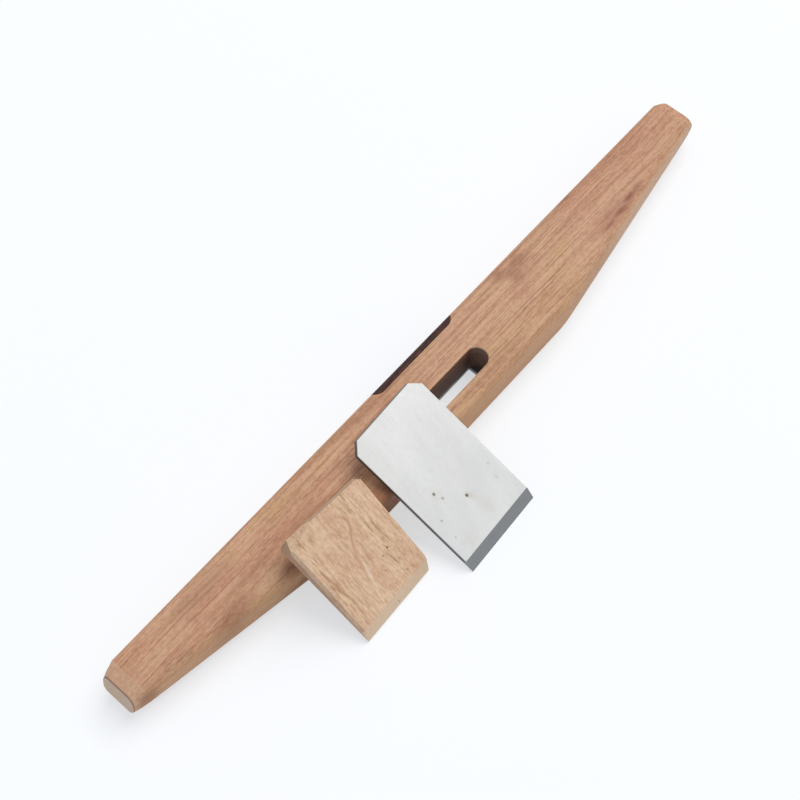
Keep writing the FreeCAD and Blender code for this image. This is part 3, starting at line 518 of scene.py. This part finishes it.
wedgeLook = {
    "toe": (-73.1 * mm, -50.625 * mm, 0.0),
    "lean": math.radians(34.36),
    "turn": math.radians(2.0),
    "surface": (3.0, math.tan(math.radians(8.0))),
    "toeBevel": 5.0 * mm,
    "pale": tone(231, 194, 159),
    "middle": tone(221, 180, 146),
    "deep": tone(190, 147, 111),
    "red": tone(212, 160, 128),
    "straw": tone(223, 187, 140),
    "line": tone(160, 113, 82),
    # painted shade for the left side face
    "side": tone(160, 128, 102),
    "pore": tone(150, 112, 86),
    "fleck": tone(84, 60, 46),
    "light": tone(240, 216, 188),
    "sandedAndLit": tone(253, 224, 189),
    "endGrain": tone(176, 148, 122),
    "roughness": 0.62,
    "gloss": 0.3,
    "bump": (0.5, 0.12 * mm),
    "textures": {
        "figure": (4.0, 40.0, 3.0, 0.6),
        "hue": (2.0, 70.0, 3.0, 0.6),
        "lines": (80.0, 17.0, 3.0, 0.6),
        "sparse": (60.0, 18.0, 2.0, 0.5),
        "pores": (9.0, 210.0, 2.0, 0.5),
        "mottle": (1.4, 560.0, 3.0, 0.65),
    },
    "sway": (30.0, 2.0, 3.0 * mm),
    "speckle": (1300.0, 2.0, 0.6),
    "lineLayers": [("hue", "red", 0.48, 0.72, 0.5), ("hue", "straw", 0.5, 0.3, 0.5),
                   ("lines", "deep", 0.46, 0.7, 0.72), ("lines", "light", 0.5, 0.3, 0.26)],
    "mottleLayers": [("mottle", "deep", 0.48, 0.7, 0.3), ("mottle", "light", 0.5, 0.3, 0.26)],
    "figureBand": (0.34, 0.66),
    "poreBand": (0.57, 0.7, 0.0, 0.26),
    # strips where the lines are stronger, in millimetres: across, half as wide
    "strongStrips": [(9.5, 3.4), (-14.5, 2.4)],
    "stripFade": 0.4,
    "strongAlong": (4.0 * mm, 12.0 * mm),
    "strongBand": (0.52, 0.64, 0.0, 0.6),
    # the sanded toe, painted paler partly as painted light: its fade round the bevel's end, how far above
    # the underside it starts, how strong
    "toeFade": (0.3 * mm, -0.4 * mm),
    "toeTop": (0.3 * mm, 0.8 * mm),
    "toeStrength": 0.62,
    # drawn lines, in millimetres: where they run, across and along
    "darkLine": [(-5.0, 46.0), (-0.5, 45.3), (3.0, 43.2), (4.8, 40.0), (4.0, 37.1), (1.1, 33.0),
                 (-1.4, 27.5), (-2.2, 23.0), (-4.2, 16.0)],
    "innerLines": [[(-8.0, 41.0), (-4.0, 41.2), (-1.0, 38.0), (-2.0, 33.0), (-4.6, 27.0), (-6.2, 19.0)],
                   [(-10.0, 36.0), (-7.2, 35.6), (-5.6, 32.0), (-6.8, 26.0), (-8.6, 17.0)],
                   [(0.0, 48.6), (6.4, 46.0), (8.2, 40.0), (6.0, 33.0), (3.2, 27.0), (1.4, 19.0),
                    (0.4, 9.0)]],
    "paleStreak": [(-1.2, 23.4), (-2.2, 19.0), (-3.0, 13.5)],
    "lineRagged": 1.0 * mm,
    # how far each kind of line reaches, and how strong it is
    "innerFade": (0.9, 0.0),
    "innerStrength": 0.12,
    "darkFade": (0.7, 0.0),
    "darkRise": (24.0 * mm, 37.0 * mm, 0.16, 0.6),
    "darkFall": (45.0 * mm, 39.0 * mm, 0.24, 1.0),
    "shadeFade": (2.4, 0.0),
    "shadeStrength": 0.25,
    "paleFade": (0.75, 0.1),
    "paleStrength": 0.62,
    # small flecks, in millimetres: across, along, size, strength
    "flecks": [(9.4, 20.4, 0.42, 0.9), (6.2, 19.4, 0.36, 0.5), (3.4, 14.6, 0.36, 0.5),
               (0.0, 1.3, 0.45, 0.7), (9.8, 8.1, 0.6, 0.35)],
    "flecksShape": (1.0, 0.7, 0.2),
    "flecksFade": (1.4, 0.4),
    # head, toe and corner facets, by how squarely they face along the wedge, and its left side, painted
    # darker as painted shade
    "endSpeckle": (0.4, 0.62, 0.4),
    "facetFacing": (0.28, 0.36, 0.0, 0.3),
    "sideFacing": (0.6, 0.95, 0.0, 0.5),
    "endFacing": (0.6, 0.8),
}


def lineShare(graph, spot, points, ragged, far, near):  # how near a place is to a drawn line
    across, along, _ = spot
    reaches = []
    for (acrossA, alongA), (acrossB, alongB) in zip(points, points[1:]):
        runAcross, runAlong = (acrossB - acrossA) * mm, (alongB - alongA) * mm
        offAcross = sums(graph, "SUBTRACT", across, acrossA * mm)
        offAlong = sums(graph, "SUBTRACT", along, alongA * mm)
        shadow = sums(graph, "MULTIPLY_ADD", offAcross, runAcross, times(graph, offAlong, runAlong))
        share = sums(graph, "MULTIPLY", shadow, 1.0 / (runAcross ** 2 + runAlong ** 2), clamp=True)
        gapAcross = sums(graph, "SUBTRACT", offAcross, times(graph, share, runAcross))
        gapAlong = sums(graph, "SUBTRACT", offAlong, times(graph, share, runAlong))
        square = sums(graph, "MULTIPLY_ADD", gapAcross, gapAcross, times(graph, gapAlong, gapAlong))
        reaches.append(sums(graph, "SQRT", square))
    nearest = joined(graph, "MINIMUM", reaches)
    return band(graph, sums(graph, "ADD", nearest, ragged), far * mm, near * mm)


def wedgeGrain(graph, look, textures, spot):
    across, along, through = spot
    colour = blendColour(graph, band(graph, textures["figure"], *look["figureBand"]),
                         look["pale"], look["middle"])
    colour = layered(graph, colour, look, "lineLayers", textures)
    strips = []
    for stripAcross, stripHalf in look["strongStrips"]:
        off = sums(graph, "ABSOLUTE", sums(graph, "SUBTRACT", across, stripAcross * mm))
        strips.append(band(graph, off, stripHalf * mm, stripHalf * look["stripFade"] * mm))
    strong = times(graph, joined(graph, "MAXIMUM", strips), band(graph, along, *look["strongAlong"]),
                   band(graph, textures["sparse"], *look["strongBand"]))
    colour = blendColour(graph, strong, colour, look["line"])
    marks = band(graph, textures["pores"], *look["poreBand"])
    colour = blendColour(graph, marks, colour, look["pore"])
    colour = layered(graph, colour, look, "mottleLayers", textures)

    # the toe's bevel is sanded, so its lines are fainter and it is paler; part of that paleness is painted
    # light offsetting the shade on it
    toeFrom, toeTo = (look["toeBevel"] + fade for fade in look["toeFade"])
    toe = band(graph, along, toeFrom, toeTo, 0.0, look["toeStrength"])
    toe = times(graph, toe, band(graph, through, *look["toeTop"]))
    return blendColour(graph, toe, colour, look["sandedAndLit"]), marks


def wedgeLines(graph, look, colour, spot, ragged):
    for inner in look["innerLines"]:
        share = lineShare(graph, spot, inner, ragged, *look["innerFade"])
        colour = blendColour(graph, times(graph, share, look["innerStrength"]), colour, look["line"])
    dark = lineShare(graph, spot, look["darkLine"], ragged, *look["darkFade"])
    along = spot[1]
    dark = times(graph, dark, band(graph, along, *look["darkRise"]), band(graph, along, *look["darkFall"]))
    colour = blendColour(graph, dark, colour, look["line"])
    shade = lineShare(graph, spot, look["darkLine"], ragged, *look["shadeFade"])
    colour = blendColour(graph, times(graph, shade, look["shadeStrength"]), colour, look["red"])
    streak = lineShare(graph, spot, look["paleStreak"], ragged, *look["paleFade"])
    return blendColour(graph, times(graph, streak, look["paleStrength"]), colour, look["light"])


def wedgeEnds(graph, look, colour, place):
    lean, turn = look["lean"], look["turn"]
    lengthwise = (-math.sin(turn) * math.cos(lean), math.cos(turn) * math.cos(lean), math.sin(lean))
    leftward = (-math.cos(turn), -math.sin(turn), 0.0)
    normal = objectNormal(graph)
    facing = sums(graph, "ABSOLUTE", dot(graph, normal, lengthwise))
    speckle = noise(graph, place, *look["speckle"])
    sawn = veil(graph, look["endGrain"], look["pore"], speckle, *look["endSpeckle"])
    colour = blendColour(graph, band(graph, facing, *look["facetFacing"]), colour, sawn)
    # painted shade: the wedge's left side face is darkened
    side = band(graph, dot(graph, normal, leftward), *look["sideFacing"])
    colour = blendColour(graph, side, colour, look["side"])
    return blendColour(graph, band(graph, facing, *look["endFacing"]), colour, sawn)


def wedgeWood(look):
    material, graph, finish = startMaterial("wedgeWood")
    place = ownPlace(graph, look)
    spot = split(graph, place)
    grain = swayed(graph, place, 0, *look["sway"])
    textures = {name: grained(graph, grain, recipe, 1) for name, recipe in look["textures"].items()}
    ragged = centred(graph, textures["lines"], look["lineRagged"])

    colour, marks = wedgeGrain(graph, look, textures, spot)
    colour = wedgeLines(graph, look, colour, spot, ragged)
    colour = spotted(graph, colour, look["fleck"], place, look, "flecks", ragged)
    feed(graph, finish, {"Base Color": wedgeEnds(graph, look, colour, place),
                         "Roughness": look["roughness"], "Specular IOR Level": look["gloss"],
                         "Normal": raisedWood(graph, textures["lines"], marks, look["bump"])})
    return material


dress("stock", stockWood(stockLook))
dress("front_insert", insertWood(insertLook))
dress("sole_plate", plateSteel("plateSteel", plateLook))
dress("plate_screws", plateSteel("screwSteel", screwLook))
dress("blade", bladeSteel(bladeLook))
dress("wedge", wedgeWood(wedgeLook))
print("pieces dressed")


# Floor, light and camera

floorLook = {
    "half": 1.6,
    "drop": 0.05 * mm,
    "tone": tone(252, 252, 254),
    "roughness": 0.9,
    "gloss": 0.1,
    # its colour as seen, and how far it goes towards that
    "seen": (0.975, 0.99, 1.0, 1.0),
    "seenShare": 0.6,
}


def makeFloor(look):
    half, drop = look["half"], look["drop"]
    mesh = bpy.data.meshes.new("floor")
    corners = [(-half, -half, -drop), (half, -half, -drop), (half, half, -drop), (-half, half, -drop)]
    mesh.from_pydata(corners, [], [(0, 1, 2, 3)])
    floor = bpy.data.objects.new("floor", mesh)
    bpy.context.scene.collection.objects.link(floor)
    material, graph, finish = startMaterial("floorPaper")
    feed(graph, finish, {"Base Color": look["tone"], "Roughness": look["roughness"],
                         "Specular IOR Level": look["gloss"]})

    # what is seen of it straight, or mirrored, is lifted towards white and keeps the shadow
    path = put(graph, "LightPath").outputs
    rays = [path[kind] for kind in ("Is Camera Ray", "Is Glossy Ray", "Is Transmission Ray")]
    seen = times(graph, joined(graph, "MAXIMUM", rays), look["seenShare"])
    glow = put(graph, "Emission", {"Color": look["seen"], "Strength": 1.0}).outputs[0]
    both = put(graph, "MixShader", {0: seen, 1: finish.outputs[0], 2: glow}).outputs[0]
    output = [item for item in graph.nodes if item.bl_idname == "ShaderNodeOutputMaterial"][0]
    graph.links.new(both, output.inputs[0])
    mesh.materials.append(material)


lightLook = {
    "sky": tone(228, 240, 255),
    "skyStrength": 0.56,
    "backdrop": (0.975, 0.99, 1.0, 1.0),  # what is seen beyond the floor
    "softboxSize": 4.0,
    "softboxPower": 226.0,
    "softboxPlace": (2.8, 0.2, 4.8),
    "softboxTone": (1.0, 0.97, 0.93),
}


def makeLight(look):
    world = bpy.data.worlds.new("sky")
    world.use_nodes = True
    graph = world.node_tree
    graph.nodes.clear()
    sky = put(graph, "Background", {0: look["sky"], 1: look["skyStrength"]}).outputs[0]
    backdrop = put(graph, "Background", {0: look["backdrop"], 1: 1.0}).outputs[0]
    path = put(graph, "LightPath").outputs
    both = put(graph, "MixShader", {0: path["Is Camera Ray"], 1: sky, 2: backdrop}).outputs[0]
    put(graph, "OutputWorld", {0: both})
    bpy.context.scene.world = world

    lamp = bpy.data.lights.new("softbox", "AREA")
    lamp.shape = "SQUARE"
    lamp.size = look["softboxSize"]
    lamp.energy = look["softboxPower"]
    lamp.color = look["softboxTone"]
    softbox = bpy.data.objects.new("softbox", lamp)
    softbox.location = look["softboxPlace"]
    softbox.rotation_euler = (-Vector(look["softboxPlace"])).to_track_quat("-Z", "Y").to_euler()
    bpy.context.scene.collection.objects.link(softbox)


cameraLook = {
    "place": (-0.1939, -0.151895, 0.49419),
    "right": (0.65465, -0.75591, 0.00542),
    "up": (0.67807, 0.59038, 0.43779),
    "lens": 62.883,
    "sensor": 36.0,
}


def makeCamera(look):
    camera = bpy.data.cameras.new("camera")
    camera.lens = look["lens"]
    camera.sensor_width = look["sensor"]
    holder = bpy.data.objects.new("camera", camera)
    right = Vector(look["right"]).normalized()
    back = right.cross(Vector(look["up"])).normalized()
    up = back.cross(right)
    turn = Matrix((right, up, back)).transposed().to_4x4()
    holder.matrix_world = Matrix.Translation(look["place"]) @ turn
    bpy.context.scene.collection.objects.link(holder)
    bpy.context.scene.camera = holder


makeFloor(floorLook)
makeLight(lightLook)
makeCamera(cameraLook)
bpy.context.scene.view_settings.view_transform = "Standard"
print("floor, light and camera placed")
